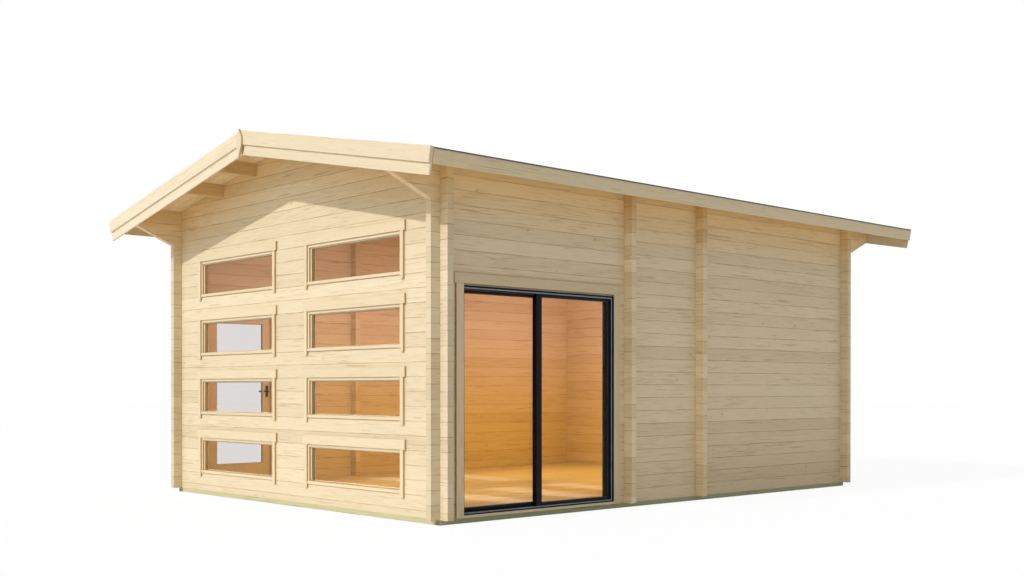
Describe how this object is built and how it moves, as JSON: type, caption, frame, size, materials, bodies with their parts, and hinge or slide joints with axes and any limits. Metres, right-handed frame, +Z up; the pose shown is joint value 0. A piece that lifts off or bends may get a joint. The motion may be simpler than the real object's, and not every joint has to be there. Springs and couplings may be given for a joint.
{
  "type": "log cabin",
  "caption": "Log cabin with interlocking log walls, a low gable roof on purlins, fixed windows in the front gable, a sliding glass door and a hinged glazed door.",
  "frame": {"origin": "on the ground under the middle of the cabin", "axes": "+Z up, -Y towards the gable with the windows, +X towards the long wall with the sliding door"},
  "size_m": [6.116, 7.75, 3.8326],
  "materials": {
    "log_wood": "planed bare spruce with fine knots, matt",
    "roof_timber": "planed bare spruce, matt",
    "trim_wood": "planed bare spruce, matt",
    "joinery_wood": "smooth planed pine, matt",
    "floor_wood": "planed floor boards, matt",
    "treated_wood": "pressure treated timber with a green tint, matt",
    "roof_felt": "dark mineral roofing felt, rough",
    "dark_frame": "anthracite powder coat, satin",
    "glazing": "clear insulating glass",
    "runner_plastic": "black glide plastic",
    "hinge_steel": "zinc plated",
    "handle_metal": "dark satin coat"
  },
  "bodies": {
    "cabin": {"right_wall_even_logs": "log_wood", "right_wall_odd_logs": "log_wood", "left_wall_even_logs": "log_wood", "left_wall_odd_logs": "log_wood", "front_gable_even_logs": "log_wood", "front_gable_odd_logs": "log_wood", "rear_gable_even_logs": "log_wood", "rear_gable_odd_logs": "log_wood", "splice_even_logs": "log_wood", "splice_odd_logs": "log_wood", "ridge_purlin": "roof_timber", "purlins": "roof_timber", "roof_deck_right": "roof_timber", "roof_deck_left": "roof_timber", "eave_fascias": "trim_wood", "upper_bargeboards": "trim_wood", "lower_bargeboards": "trim_wood", "apex_boards": "trim_wood", "window_side_trims": "trim_wood", "window_head_trims": "trim_wood", "door_side_trims": "trim_wood", "door_head_trims": "trim_wood", "slider_head_lining": "trim_wood", "slider_threshold": "trim_wood", "window_stiles": "joinery_wood", "window_rails": "joinery_wood", "door_jambs": "joinery_wood", "door_head": "joinery_wood", "door_threshold": "joinery_wood", "floor": "floor_wood", "long_ground_beams": "treated_wood", "cross_ground_beams": "treated_wood", "floor_joists": "treated_wood", "roof_covering_right": "roof_felt", "roof_covering_left": "roof_felt", "slider_jambs": "dark_frame", "slider_head_rail": "dark_frame", "slider_sill_rail": "dark_frame", "fixed_panel_frame": "dark_frame", "window_panes": "glazing", "fixed_panel_glass": "glazing", "frame_hinges": "hinge_steel"},
    "sliding_panel": {"sliding_panel_frame": "dark_frame", "sliding_panel_glass": "glazing", "sliding_panel_shoes": "runner_plastic"},
    "door": {"door_leaf": "joinery_wood", "door_glass": "glazing", "door_handles": "handle_metal", "leaf_hinges": "hinge_steel"}
  },
  "joints": [
    {"name": "sliding_panel_slide", "type": "slide", "parent": "cabin", "child": "sliding_panel", "axis": [0, 1, 0], "range_m": [0, 0.93]},
    {"name": "door_swing", "type": "hinge", "parent": "cabin", "child": "door", "pos_m": [-2.459, -2.8885, 1.1], "axis": [0, 0, 1], "range_deg": [0, 100]}
  ]
}
